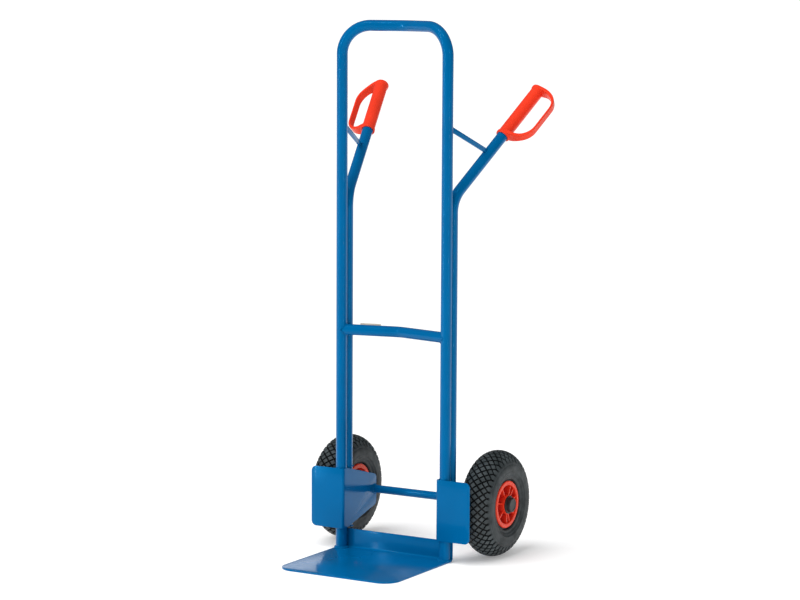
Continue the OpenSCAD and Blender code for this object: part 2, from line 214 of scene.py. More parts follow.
@dataclass(frozen=True)
class PowderCoat:
    """Gloss powder coat: orange peel and a faint drift in tone."""

    name: str = "blue_powder_coat"
    colour: Colour = (0.0, 0.113, 0.302)
    sheen: Colour = (0.0, 0.45, 1.0)
    rough: tuple[float, float] = (0.14, 0.19)
    peel_per_m: float = 420.0
    peel_depth: float = 0.15 * MM
    peel_strength: float = 0.06
    coat: float = 0.06
    coat_rough: float = 0.03

    def make(self) -> bpy.types.Material:
        """Build the material.

        Returns:
            The material.
        """
        bench = NodeBench(self.name)
        drift = bench.noise(9.0, 2.0)
        tone = bench.blend(drift, shade(self.colour, 0.95), shade(self.colour, 1.05))
        bench.link(tone, bench.shader.inputs["Base Color"])
        bench.link(bench.spread(bench.noise(60.0), *self.rough), bench.shader.inputs["Roughness"])
        bench.bumps(
            (bench.noise(self.peel_per_m, 0.0), self.peel_depth, self.peel_strength),
            (bench.noise(self.peel_per_m * 5, 0.0), self.peel_depth / 5, self.peel_strength),
        )
        bench.set(Specular_IOR_Level=0.5, Specular_Tint=(*self.sheen, 1),
                  Coat_Weight=self.coat, Coat_Roughness=self.coat_rough)
        return bench.material


@dataclass(frozen=True)
class MouldedPlastic:
    """Injection-moulded plastic: fine spark grain, slight flow marks, and painted shade in marked
    pockets.
    """

    name: str
    colour: Colour
    rough: tuple[float, float]
    sheen: Colour = (1.0, 1.0, 1.0)
    grain_per_m: float = 2200.0
    grain_depth: float = 0.06 * MM
    flow_depth: float = 0.3 * MM
    sub: float = 0.0
    sub_depth: float = 2 * MM
    # colour painted as shade at the bottom of marked grooves and pockets
    painted_shade: Colour = (0.006, 0.006, 0.007)

    def make(self) -> bpy.types.Material:
        """Build the material.

        Returns:
            The material.
        """
        bench = NodeBench(self.name)
        flow = bench.noise(14.0, 3.0)
        tone = bench.blend(flow, shade(self.colour, 0.94), shade(self.colour, 1.06))
        # painted shade: the tone darkens where the piece is marked as lying in a pocket
        bench.link(Recess.darken(bench, tone, self.painted_shade), bench.shader.inputs["Base Color"])
        bench.link(bench.spread(bench.noise(90.0), *self.rough), bench.shader.inputs["Roughness"])
        bench.bumps(
            (bench.noise(self.grain_per_m, 2.0), self.grain_depth, 0.35),
            (bench.noise(110.0, 1.0), self.flow_depth, 0.05),
        )
        bench.set(Specular_IOR_Level=0.45, Specular_Tint=(*self.sheen, 1),
                  Subsurface_Weight=self.sub, Subsurface_Scale=self.sub_depth)
        return bench.material


class Recess:
    """Per-point share of painted shade, from 0 in the open to 1 at the bottom of a groove or pocket,
    which finishes read.
    """

    NAME = "recess"

    @classmethod
    def mark(cls, piece: bpy.types.Object, depth: Callable[[Vector], float]) -> None:
        """Write the painted-shade share on a piece's points.

        Args:
            piece: the object to mark.
            depth: the painted-shade share at a point, clamped here to 0 and 1.
        """
        attribute = piece.data.attributes.new(cls.NAME, "FLOAT", "POINT")
        shares = [min(1.0, max(0.0, depth(vertex.co))) for vertex in piece.data.vertices]
        attribute.data.foreach_set("value", shares)

    @classmethod
    def darken(cls, bench: NodeBench, tone: bpy.types.NodeSocket, painted_shade: Colour) -> bpy.types.NodeSocket:
        """Paint shade into a colour where the share is high, darkening grooves and pockets where shade
        falls.

        Args:
            bench: the material being built.
            tone: colour in the open.
            painted_shade: colour painted as shade in the deepest place.

        Returns:
            The colour socket.
        """
        share = bench.add("ShaderNodeAttribute", attribute_name=cls.NAME)
        mix = bench.add("ShaderNodeMix", data_type="RGBA")
        factor, open_tone = mix.inputs[0], mix.inputs[6]
        mix.inputs[7].default_value = (*painted_shade, 1)
        bench.link(share.outputs["Fac"], factor)
        bench.link(tone, open_tone)
        return mix.outputs[2]


@dataclass(frozen=True)
class TyreRubber:
    """Dull rubber: mould grain, a paler bloom in patches, and painted shade in the grooves."""

    name: str = "tyre_rubber"
    colour: Colour = (0.032, 0.041, 0.044)
    bloom: Colour = (0.066, 0.080, 0.085)
    # near-black colour painted as shade on the floor of the tread's grooves
    painted_shade: Colour = (0.003, 0.004, 0.005)
    rough: tuple[float, float] = (0.42, 0.62)
    grain_depth: float = 0.12 * MM
    wave_depth: float = 0.4 * MM

    def make(self) -> bpy.types.Material:
        """Build the material.

        Returns:
            The material.
        """
        bench = NodeBench(self.name)
        tone = bench.blend(bench.noise(42.0, 5.0), self.colour, self.bloom)
        # painted shade: the grooves go near black, the sidewall is darkened by a fixed share
        bench.link(Recess.darken(bench, tone, self.painted_shade), bench.shader.inputs["Base Color"])
        bench.link(bench.spread(bench.noise(120.0), *self.rough), bench.shader.inputs["Roughness"])
        bench.bumps(
            (bench.noise(1500.0, 3.0), self.grain_depth, 0.4),
            (bench.noise(260.0, 2.0), self.wave_depth, 0.10),
        )
        bench.set(Specular_IOR_Level=0.3)
        return bench.material


@dataclass(frozen=True)
class PlatedSteel:
    """Plated or ground steel with fine streaks, brushed straight where they are stretched."""

    name: str
    colour: Colour
    rough: tuple[float, float]
    stretch: Point = (1, 1, 1)
    streak_depth: float = 0.05 * MM

    def make(self) -> bpy.types.Material:
        """Build the material.

        Returns:
            The material.
        """
        bench = NodeBench(self.name)
        tone = bench.blend(bench.noise(80.0, 4.0), shade(self.colour, 0.85), self.colour)
        bench.link(tone, bench.shader.inputs["Base Color"])
        streak = bench.noise(900.0, 2.0, self.stretch)
        bench.link(bench.spread(streak, *self.rough), bench.shader.inputs["Roughness"])
        bench.bumps((streak, self.streak_depth, 0.25))
        bench.set(Metallic=1.0)
        return bench.material


@dataclass(frozen=True)
class LabelPaint:
    """Satin cream paint on the blank rating plate."""

    name: str = "cream_label"
    colour: Colour = (0.76, 0.66, 0.52)
    rough: tuple[float, float] = (0.35, 0.5)
    grain_depth: float = 0.05 * MM

    def make(self) -> bpy.types.Material:
        """Build the material.

        Returns:
            The material.
        """
        bench = NodeBench(self.name)
        tone = bench.blend(bench.noise(70.0, 3.0), shade(self.colour, 0.95), self.colour)
        bench.link(tone, bench.shader.inputs["Base Color"])
        bench.link(bench.spread(bench.noise(200.0), *self.rough), bench.shader.inputs["Roughness"])
        bench.bumps((bench.noise(900.0, 2.0), self.grain_depth, 0.2))
        return bench.material


@dataclass(frozen=True)
class FloorPaper:
    """Matte white paper on a light table."""

    name: str = "white_paper"
    colour: Colour = (0.90, 0.90, 0.90)
    glow: float = 0.22

    def make(self) -> bpy.types.Material:
        """Build the material.

        Returns:
            The material.
        """
        bench = NodeBench(self.name)
        tone = bench.blend(bench.noise(3.0, 2.0), shade(self.colour, 0.995), self.colour)
        bench.link(tone, bench.shader.inputs["Base Color"])
        bench.set(Roughness=0.9, Specular_IOR_Level=0.0,
                  Emission_Color=(1, 1, 1, 1), Emission_Strength=self.glow)
        return bench.material


@dataclass
class FinishRack:
    """All the finishes, made once, and the record's slot that each stands for."""

    made: dict[str, bpy.types.Material] = field(default_factory=dict)

    def __post_init__(self) -> None:
        """Make every finish."""
        kinds = {
            "blue_paint": PowderCoat(),
            # red plastic: a darker, bluer red is painted as shade in the rim's pockets
            "red_plastic": MouldedPlastic("red_plastic", (0.82, 0.042, 0.016), (0.26, 0.36),
                                          (1.0, 0.42, 0.22), painted_shade=(0.50, 0.008, 0.020)),
            "black_plastic": MouldedPlastic("black_plastic", (0.016, 0.017, 0.018), (0.38, 0.5)),
            "tyre": TyreRubber(),
            "butyl": MouldedPlastic("butyl_rubber", (0.02, 0.02, 0.02), (0.6, 0.75)),
            "zinc": PlatedSteel("zinc_plate", (0.62, 0.61, 0.56), (0.25, 0.4)),
            "steel": PlatedSteel("ground_steel", (0.56, 0.57, 0.58), (0.18, 0.3), (1, 8, 8)),
            "cage": MouldedPlastic("natural_nylon", (0.68, 0.62, 0.46), (0.4, 0.5), sub=0.1),
            "plate": LabelPaint(),
        }
        self.made = {slot: kind.make() for slot, kind in kinds.items()}

    def dress(self, piece: bpy.types.Object, slot: str) -> None:
        """Give a piece the finish of one slot.

        Args:
            piece: the object to dress.
            slot: the record's material slot.
        """
        piece.data.materials.clear()
        piece.data.materials.append(self.made[slot])

    def dress_nodes(self) -> None:
        """Put the finishes on every node of the frame."""
        for row in frame["record"]["subparts"]:
            node = frame["nodes"].get(row["node"])
            if node is not None:
                self.dress(node, row["material_slot"])


# ---------------------------------------------------------------- bench work


class Bench:
    """Modelling operators, each on one object at a time."""

    @staticmethod
    def only(piece: bpy.types.Object) -> None:
        """Select one object alone and make it active.

        Args:
            piece: the object to select.
        """
        bpy.ops.object.select_all(action="DESELECT")
        piece.select_set(True)
        bpy.context.view_layer.objects.active = piece

    @staticmethod
    def blank(name: str, points: Sequence[Point], edges: Sequence[tuple[int, int]] = (),
              faces: Sequence[Sequence[int]] = ()) -> bpy.types.Object:
        """Lay out points, edges or faces as a new object.

        Args:
            name: the object's name.
            points: places of the vertices, in metres.
            edges: pairs of vertex numbers.
            faces: rings of vertex numbers.

        Returns:
            The new object, selected and active.
        """
        mesh = bpy.data.meshes.new(name)
        mesh.from_pydata(list(points), list(edges), [list(ring) for ring in faces])
        piece = bpy.data.objects.new(name, mesh)
        bpy.context.scene.collection.objects.link(piece)
        Bench.only(piece)
        return piece

    @staticmethod
    def edit(piece: bpy.types.Object) -> None:
        """Open a piece in edit mode with everything selected.

        Args:
            piece: the object to open.
        """
        Bench.only(piece)
        bpy.ops.object.mode_set(mode="EDIT")
        bpy.ops.mesh.select_all(action="SELECT")

    @staticmethod
    def done() -> None:
        """Leave edit mode."""
        bpy.ops.object.mode_set(mode="OBJECT")

    @staticmethod
    def tidy(piece: bpy.types.Object, gap: float = 1e-6) -> None:
        """Merge doubles and point all the faces outwards.

        Args:
            piece: the object to tidy.
            gap: distance under which points are merged, in metres.
        """
        Bench.edit(piece)
        bpy.ops.mesh.remove_doubles(threshold=gap)
        bpy.ops.mesh.select_all(action="SELECT")
        bpy.ops.mesh.normals_make_consistent(inside=False)
        Bench.done()

    @staticmethod
    def smooth(piece: bpy.types.Object, degrees: float = 35.0) -> None:
        """Shade a piece smooth, with edges sharper than an angle kept crisp."""
        Bench.only(piece)
        bpy.ops.object.shade_smooth_by_angle(angle=math.radians(degrees))

    @staticmethod
    def modify(piece: bpy.types.Object, kind: str, **settings: object) -> None:
        """Add a modifier and apply it at once.

        Args:
            piece: the object to modify.
            kind: the modifier's type.
            settings: attributes to set on it.
        """
        Bench.only(piece)
        modifier = piece.modifiers.new(kind.title(), kind)
        for key, value in settings.items():
            setattr(modifier, key, value)
        bpy.ops.object.modifier_apply(modifier=modifier.name)

    @staticmethod
    def round_edges(piece: bpy.types.Object, width: float, segments: int = 2,
                    degrees: float = 32.0) -> None:
        """Round every edge that is sharper than an angle.

        Args:
            piece: the object to round.
            width: width of the rounding, in metres.
            segments: faces across it.
            degrees: least angle between faces that counts as an edge.
        """
        Bench.modify(piece, "BEVEL", width=width, segments=segments, limit_method="ANGLE",
                     angle_limit=math.radians(degrees), use_clamp_overlap=True)

    @staticmethod
    def turn(name: str, profile: Sequence[tuple[float, float]], steps: int,
             closed: bool) -> bpy.types.Object:
        """Turn a profile round the X axis, as on a lathe.

        Args:
            name: the object's name.
            profile: (place along X, radius) pairs, in metres.
            steps: faces round the axis.
            closed: whether the profile's last point joins its first.

        Returns:
            The turned piece.
        """
        count = len(profile)
        edges = [(i, i + 1) for i in range(count - 1)]
        if closed:
            edges.append((count - 1, 0))
        piece = Bench.blank(name, [(x, r, 0.0) for x, r in profile], edges)
        Bench.edit(piece)
        bpy.ops.mesh.spin(steps=steps, angle=math.tau, center=(0, 0, 0), axis=(1, 0, 0),
                          use_auto_merge=True)
        Bench.done()
        Bench.tidy(piece)
        return piece

    @staticmethod
    def join(pieces: Sequence[bpy.types.Object], name: str) -> bpy.types.Object:
        """Join several objects into the first.

        Args:
            pieces: the objects, at least one.
            name: name of the joined object.

        Returns:
            The joined object.
        """
        bpy.ops.object.select_all(action="DESELECT")
        for piece in pieces:
            piece.select_set(True)
        bpy.context.view_layer.objects.active = pieces[0]
        if len(pieces) > 1:
            bpy.ops.object.join()
        joined = bpy.context.view_layer.objects.active
        joined.name = name
        return joined

    @staticmethod
    def slice_along_x(piece: bpy.types.Object, places: Sequence[float]) -> None:
        """Cut rings of edges square to X, so that shading can change along it.

        Args:
            piece: the object to cut.
            places: X of each cut.
        """
        Bench.edit(piece)
        for place in places:
            bpy.ops.mesh.select_all(action="SELECT")
            bpy.ops.mesh.bisect(plane_co=(place, 0, 0), plane_no=(1, 0, 0))
        Bench.done()

    @staticmethod
    def settle(piece: bpy.types.Object) -> None:
        """Take an object's own place into its mesh."""
        Bench.only(piece)
        bpy.ops.object.transform_apply(location=True, rotation=True, scale=True)

    @staticmethod
    def copy(piece: bpy.types.Object, name: str, moved: Matrix) -> bpy.types.Object:
        """Copy a piece with its own mesh, moved or mirrored.

        Args:
            piece: the object to copy.
            name: the copy's name.
            moved: where the copy goes, from where the piece is.

        Returns:
            The copy.
        """
        twin = piece.copy()
        twin.data = piece.data.copy()
        twin.name = name
        bpy.context.scene.collection.objects.link(twin)
        twin.data.transform(moved)
        if moved.determinant() < 0:
            twin.data.flip_normals()
        return twin

    @staticmethod
    def from_node(node: str, name: str) -> bpy.types.Object:
        """Copy a node of the frame, merged, with its flat faces whole again.

        Args:
            node: the node's name.
            name: the copy's name.

        Returns:
            The copy, free of the frame.
        """
        source = frame["nodes"][node]
        piece = bpy.data.objects.new(name, source.data.copy())
        bpy.context.scene.collection.objects.link(piece)
        Bench.edit(piece)
        bpy.ops.mesh.customdata_custom_splitnormals_clear()
        bpy.ops.mesh.remove_doubles(threshold=2e-6)
        bpy.ops.mesh.select_all(action="SELECT")
        bpy.ops.mesh.dissolve_limited(angle_limit=math.radians(0.6))
        Bench.done()
        return piece


def rounded(corners: Sequence[tuple[float, float, float]],
            steps: int = 5) -> list[tuple[float, float]]:
    """Round the corners of a closed or open outline.

    Args:
        corners: (x, y, radius) of each corner; a radius of 0 keeps it sharp.
        steps: points along each rounding, less one.

    Returns:
        The outline's points.
    """
    outline: list[tuple[float, float]] = []
    count = len(corners)
    for i, (x, y, radius) in enumerate(corners):
        here = Vector((x, y))
        if radius <= 0:
            outline.append((x, y))
            continue
        before = (Vector(corners[i - 1][:2]) - here).normalized()
        after = (Vector(corners[(i + 1) % count][:2]) - here).normalized()
        half = before.angle(after) / 2
        setback = radius / math.tan(half)
        centre = here + (before + after).normalized() * (radius / math.sin(half))
        start = here + before * setback - centre
        finish = here + after * setback - centre
        sweep = start.angle_signed(finish)
        for k in range(steps + 1):
            angle = -sweep * k / steps
            turned = Vector((start.x * math.cos(angle) - start.y * math.sin(angle),
                             start.x * math.sin(angle) + start.y * math.cos(angle)))
            outline.append(tuple(centre + turned))
    return outline


class PipeRun:
    """A round tube made as a bender makes it: straight pushes and turned bends."""

    SIDES = 48

    def __init__(self, name: str, radius: float, at: Point, heading: Point) -> None:
        """Start a tube with its end ring.

        Args:
            name: the tube's name.
            radius: outside radius, in metres.
            at: centre of its first end.
            heading: direction in which it sets off.
        """
        self.radius = radius
        self.at = Vector(at)
        self.heading = Vector(heading).normalized()
        turn = self.heading.to_track_quat("Z", "Y").to_euler()
        bpy.ops.object.select_all(action="DESELECT")
        bpy.ops.mesh.primitive_circle_add(vertices=self.SIDES, radius=radius, location=self.at,
                                          rotation=turn)
        self.piece = bpy.context.object
        self.piece.name = name
        Bench.settle(self.piece)
        Bench.edit(self.piece)

    def push(self, length: float) -> "PipeRun":
        """Go straight on.

        Args:
            length: distance in metres.

        Returns:
            The same tube.
        """
        step = self.heading * length
        bpy.ops.mesh.extrude_region_move(TRANSFORM_OT_translate={"value": tuple(step)})
        self.at += step
        return self

    def bend(self, radius: float, angle: float, toward: Point, steps: int = 18) -> "PipeRun":
        """Bend the tube.

        Args:
            radius: radius of the tube's centre line.
            angle: turn in radians.
            toward: direction that the tube bends towards, square to its heading.
            steps: faces along the bend.

        Returns:
            The same tube.
        """
        inwards = Vector(toward).normalized()
        centre = self.at + inwards * radius
        axis = self.heading.cross(inwards).normalized()
        # the operator turns against the right-hand rule
        bpy.ops.mesh.spin(steps=steps, angle=-angle, center=tuple(centre), axis=tuple(axis))
        turn = Matrix.Rotation(angle, 3, axis)
        self.at = centre + turn @ (self.at - centre)
        self.heading = turn @ self.heading
        return self

    def mouth(self, wall: float, depth: float) -> None:
        """Give the last end an open mouth.

        Args:
            wall: thickness of the tube's wall.
            depth: how far the bore is seen to go in.
        """
        inner = (self.radius - wall) / self.radius
        bpy.ops.mesh.extrude_region_move(TRANSFORM_OT_translate={"value": (0, 0, 0)})
        bpy.ops.transform.resize(value=(inner, inner, inner), center_override=tuple(self.at))
        bpy.ops.mesh.extrude_region_move(TRANSFORM_OT_translate={"value": tuple(-self.heading * depth)})
        bpy.ops.mesh.edge_face_add()

    def finish(self) -> bpy.types.Object:
        """Close what is still open and smooth the tube.

        Returns:
            The finished tube.
        """
        bpy.ops.mesh.select_all(action="DESELECT")
        bpy.ops.mesh.select_non_manifold()
        bpy.ops.mesh.fill_holes(sides=0)
        Bench.done()
        Bench.tidy(self.piece)
        Bench.smooth(self.piece, 40)
        return self.piece


# ---------------------------------------------------------------- the frame


@dataclass
class TubeFrame:
    """Hoop, crossbar, handle tubes and axle. Sizes in metres."""

    rack: FinishRack
    tube_r: float = 26.9 * MM / 2
    wall: float = 2 * MM
    height: float = 1.3
    leg_x: float = (320 - 26.9) * MM / 2
    corner_r: float = 70 * MM
    bow: float = math.radians(18)
    bow_r: float = 90 * MM
    bar_z: float = 547 * MM
    bar_bow: float = math.radians(12)
    bar_bow_r: float = 60 * MM
    handle_foot_z: float = 54 * MM
    handle_bend_z: float = 845 * MM
    handle_bend_r: float = 70 * MM
    rake: float = math.radians(50)
    splay: float = math.radians(15)
    handle_reach: float = 388 * MM
    swell: float = 0.1 * MM
    toe_top: float = 4 * MM
    mouth_depth: float = 60 * MM
    axle_chamfer: float = 1.2 * MM

    @property
    def leg_y(self) -> float:
        """Depth of the legs' centre line."""
        return self.tube_r

    @property
    def rear_y(self) -> float:
        """Depth of the handle tubes' centre line behind the legs."""
        return 3 * self.tube_r + self.swell

    def to_handle(self, side: Side) -> Matrix:
        """Place of a handle: +Z along it, 0 at the corner of its bend.

        Args:
            side: which handle.

        Returns:
            The matrix that takes a piece there.
        """
        corner_z = self.handle_bend_z + self.handle_bend_r * math.tan(self.rake / 2)
        right = (Matrix.Translation((self.leg_x, self.rear_y, corner_z))
                 @ Matrix.Rotation(math.pi / 2 - self.splay, 4, "Z")
                 @ Matrix.Rotation(self.rake, 4, "Y"))
        return Matrix.Scale(side.value, 4, (1, 0, 0)) @ right if side is Side.LEFT else right

    def build_hoop(self) -> bpy.types.Object:
        """Bend the hoop: leg, corner, bowed top, corner, leg.

        Returns:
            The hoop.
        """
        top_z = self.height - self.tube_r
        corner_z = top_z - self.corner_r
        inner_x = self.leg_x - self.corner_r * math.cos(self.bow)
        length = inner_x / math.cos(self.bow) - self.bow_r * math.tan(self.bow)
        run = PipeRun("hoop_tube", self.tube_r, (-self.leg_x, self.leg_y, self.toe_top), (0, 0, 1))
        run.push(corner_z - self.toe_top)
        run.bend(self.corner_r, math.pi / 2, (math.cos(self.bow), math.sin(self.bow), 0), 24)
        run.push(length)
        run.bend(self.bow_r, 2 * self.bow, (math.sin(self.bow), -math.cos(self.bow), 0), 14)
        run.push(length)
        run.bend(self.corner_r, math.pi / 2, (0, 0, -1), 24)
        run.push(corner_z - self.toe_top)
        return run.finish()

    def build_crossbar(self) -> bpy.types.Object:
        """Bend the crossbar between the legs.

        Returns:
            The crossbar, its ends inside the legs' walls.
        """
        length = self.leg_x / math.cos(self.bar_bow) - self.bar_bow_r * math.tan(self.bar_bow)
        heading = Vector((math.cos(self.bar_bow), math.sin(self.bar_bow), 0))
        inside = self.wall * 2
        start = Vector((-self.leg_x, self.leg_y, self.bar_z)) + heading * inside
        run = PipeRun("crossbar_tube", self.tube_r - self.swell, start, heading)
        run.push(length - inside)
        run.bend(self.bar_bow_r, 2 * self.bar_bow,
                 (math.sin(self.bar_bow), -math.cos(self.bar_bow), 0), 12)
        run.push(length - inside)
        return run.finish()

    def build_handle(self, side: Side) -> bpy.types.Object:
        """Bend one handle tube, from inside its grip down to its open foot.

        Args:
            side: which handle.

        Returns:
            The handle tube.
        """
        place = self.to_handle(side)
        heading = place.to_3x3() @ Vector((0, 0, 1))
        tangent = self.handle_bend_r * math.tan(self.rake / 2)
        inwards = heading.cross(Vector((0, 0, 1))).cross(heading).normalized()
        run = PipeRun(f"handle_tube_bent_{side.word}", self.tube_r,
                      place @ Vector((0, 0, self.handle_reach)), -heading)
        run.push(self.handle_reach - tangent)
        run.bend(self.handle_bend_r, self.rake, -(inwards - inwards.project(heading)), 20)
        run.push(self.handle_bend_z - self.handle_foot_z)
        run.mouth(self.wall, self.mouth_depth)
        return run.finish()

    def build_axle(self) -> bpy.types.Object:
        """Turn the axle, with a chamfer at each end.

        Returns:
            The axle.
        """
        low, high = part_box("axle")
        radius = (high.z - low.z) / 2
        half = (high.x - low.x) / 2
        chamfer = self.axle_chamfer
        profile = [(-half, 0.0), (-half, radius - chamfer), (-half + chamfer, radius),
                   (half - chamfer, radius), (half, radius - chamfer), (half, 0.0)]
        axle = Bench.turn("axle_bar", profile, 48, closed=False)
        axle.data.transform(Matrix.Translation((0, (low.y + high.y) / 2, (low.z + high.z) / 2)))
        Bench.smooth(axle)
        return axle

    def build(self) -> None:
        """Build and dress all the tubes."""
        made = {"hoop": self.build_hoop(), "crossbar": self.build_crossbar(),
                "axle": self.build_axle()}
        for side in Side:
            made[f"handle_tube_{side.word}"] = self.build_handle(side)
        for node, piece in made.items():
            self.rack.dress(piece, "blue_paint")
            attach(piece, BODY_FRAME)
            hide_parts(node)
            LOG.info("%s stands for %s", piece.name, node)


@dataclass
class SheetWork:
    """Folded and flat sheet pieces, taken from the frame with their edges eased."""

    rack: FinishRack
    edge: float = 0.7 * MM
    label_edge: float = 0.25 * MM
    pieces: tuple[tuple[str, str, str], ...] = (
        ("wheel_guard_left", "folded_guard_left", "blue_paint"),
        ("wheel_guard_right", "folded_guard_right", "blue_paint"),
        ("toe_plate", "toe_plate_bent", "blue_paint"),
        ("strut_left", "strut_bar_left", "blue_paint"),
        ("strut_right", "strut_bar_right", "blue_paint"),
        ("rating_plate", "rating_plate_blank", "plate"),
    )

    def build(self) -> None:
        """Build and dress all the sheet pieces."""
        for node, name, slot in self.pieces:
            piece = Bench.from_node(node, name)
            width = self.label_edge if node == "rating_plate" else self.edge
            Bench.round_edges(piece, width, 3, 40)
            Bench.smooth(piece, 40)
            self.rack.dress(piece, slot)
            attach(piece, BODY_FRAME)
            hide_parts(node)
            LOG.info("%s stands for %s", name, node)


@dataclass
class WeldSeams:
    """Painted-over weld seams, as rippled beads where the frame's pieces meet."""

    rack: FinishRack
    tubes: TubeFrame
    bead_r: float = 2.3 * MM
    ripple: float = 3.2 * MM
    ripple_depth: float = 0.14
    steps_per_ripple: int = 4
    ease: float = 0.6 * MM
    foot_thick: float = 1.6
    flange_top: float = 47 * MM
    flange_seam_x: float = 7.5 * MM
    flange_seam_in: float = 1.5 * MM
    flange_seam_from: float = 6 * MM
    tube_seam_x: float = 5.5 * MM
    tube_seams: tuple[tuple[float, float], ...] = (
        (230 * MM, 262 * MM), (520 * MM, 575 * MM), (800 * MM, 843 * MM))
    guard_seam_from: float = -6 * MM
    guard_seam_to: float = 8 * MM
    guard_seam_out: float = 0.24 * MM
    rear_seam_half: float = 7 * MM
    axle_ease: float = 0.4 * MM
    strut_seam_half: float = 2.6 * MM
    strut_end: float = 4 * MM
    beads: list[bpy.types.Object] = field(default_factory=list)

    def bead(self, path: Callable[[float], Vector], length: float, closed: bool,
             thick: float = 1.0) -> None:
        """Lay one bead along a path.

        Args:
            path: place of the seam at a share of its length, from 0 to 1.
            length: length of the seam in metres.
            closed: whether it ends where it starts.
            thick: factor on the bead's radius.
        """
        waves = max(2, round(length / self.ripple))
        count = waves * self.steps_per_ripple
        curve = bpy.data.curves.new("bead", "CURVE")
        curve.dimensions = "3D"
        curve.bevel_depth = self.bead_r * thick
        curve.bevel_resolution = 2
        curve.use_fill_caps = not closed
        spline = curve.splines.new("POLY")
        steps = count if closed else count + 1
        spline.points.add(steps - 1)
        for i in range(steps):
            share = i / count
            spline.points[i].co = (*path(share), 1)
            swell = 1 - self.ripple_depth * (1 - math.cos(math.tau * waves * share))
            ends = 1.0 if closed else min(1.0, 0.55 + 8 * min(share, 1 - share))
            spline.points[i].radius = swell * ends
        spline.use_cyclic_u = closed
        bead = bpy.data.objects.new("bead", curve)
        bpy.context.scene.collection.objects.link(bead)
        Bench.only(bead)
        bpy.ops.object.convert(target="MESH")
        self.beads.append(bpy.context.object)

    def line(self, start: Point, end: Point, thick: float = 1.0) -> None:
        """Lay a straight bead.

        Args:
            start: one end.
            end: the other end.
            thick: factor on the bead's radius.
        """
        a, b = Vector(start), Vector(end)
        self.bead(lambda share: a.lerp(b, share), (b - a).length, closed=False, thick=thick)

    def ring(self, centre: Point, radius: float, normal: Point, thick: float) -> None:
        """Lay a bead all the way round a tube.

        Args:
            centre: centre of the ring.
            radius: its radius.
            normal: the tube's direction.
            thick: factor on the bead's radius.
        """
        turn = Vector(normal).to_track_quat("Z", "Y").to_matrix()
        middle = Vector(centre)

        def place(share: float) -> Vector:
            """Place on the ring at a share of the turn."""
            angle = math.tau * share
            return middle + turn @ Vector((radius * math.cos(angle), radius * math.sin(angle), 0))

        self.bead(place, radius * math.tau, closed=True, thick=thick)

    def saddle(self, side: Side) -> None:
        """Lay the bead where the crossbar meets one leg.

        Args:
            side: which leg.
        """
        tubes = self.tubes
        leg = Vector((side.value * tubes.leg_x, tubes.leg_y, tubes.bar_z))
        heading = Vector((-side.value * math.cos(tubes.bar_bow), math.sin(tubes.bar_bow), 0))
        level = Vector((-heading.y, heading.x, 0))

        def place(share: float) -> Vector:
            """Find where a line along the crossbar's wall meets the leg's wall.

            Args:
                share: share of the turn round the crossbar.

            Returns:
                The place on the seam.
            """
            angle = math.tau * share
            rise = Vector((0, 0, tubes.tube_r * math.sin(angle)))
            wall = leg + level * (tubes.tube_r * math.cos(angle)) + rise
            aside = wall.xy - leg.xy
            along = aside.dot(heading.xy)
            short = tubes.tube_r**2 - aside.length_squared + along**2
            return wall + heading * (math.sqrt(max(short, 0.0)) - along)

        self.bead(place, 1.2 * math.tau * tubes.tube_r, closed=True)

    def upright_seams(self, leg_x: float, edge: int) -> None:
        """Lay the seams up one edge of a leg: at the flange, and along the handle tube.

        Args:
            leg_x: X of the leg.
            edge: -1 or 1, for the edge.
        """
        behind = 2 * self.tubes.tube_r
        seam_x, seam_y = leg_x + edge * self.flange_seam_x, behind - self.flange_seam_in
        self.line((seam_x, seam_y, self.tubes.toe_top + self.flange_seam_from),
                  (seam_x, seam_y, self.flange_top))
        seam_x = leg_x + edge * self.tube_seam_x
        for low_z, high_z in self.tube_seams:
            self.line((seam_x, behind, low_z), (seam_x, behind, high_z), 0.8)

    def guard_seams(self, side: Side) -> None:
        """Lay the seams of a wheel guard on its leg, its handle tube and the axle.

        Args:
            side: which guard.
        """
        tubes, sign = self.tubes, side.value
        leg_x = sign * tubes.leg_x
        guard_low, guard_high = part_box("wheel_guard_right")
        inner_x = sign * (tubes.leg_x - tubes.tube_r - self.axle_ease)
        for edge_z, way in ((guard_low.z, -1), (guard_high.z, 1)):
            seam_z = edge_z + way * self.guard_seam_out
            self.line((leg_x + sign * self.guard_seam_from, self.ease, seam_z),
                      (leg_x + sign * self.guard_seam_to, self.ease, seam_z), 0.9)
            self.line((inner_x, tubes.rear_y - self.rear_seam_half, edge_z),
                      (inner_x, tubes.rear_y + self.rear_seam_half, edge_z), 0.9)
        low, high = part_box("axle")
        middle = (sign * guard_low.x, (low.y + high.y) / 2, (low.z + high.z) / 2)
        self.ring(middle, (high.z - low.z) / 2 + self.axle_ease, (1, 0, 0), thick=1.2)

    def build(self) -> None:
        """Lay all the seams and dress them."""
        tubes = self.tubes
        for side in Side:
            leg_x = side.value * tubes.leg_x
            self.ring((leg_x, tubes.leg_y, tubes.toe_top + self.ease), tubes.tube_r + self.ease,
                      (0, 0, 1), thick=self.foot_thick)
            for edge in (-1, 1):
                self.upright_seams(leg_x, edge)
            self.guard_seams(side)
            self.saddle(side)
            self.strut_seams(side)
        seams = Bench.join(self.beads, "weld_seams")
        Bench.tidy(seams)
        Bench.smooth(seams, 60)
        self.rack.dress(seams, "blue_paint")
        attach(seams, BODY_FRAME)
        LOG.info("%s: %d beads", seams.name, len(self.beads))

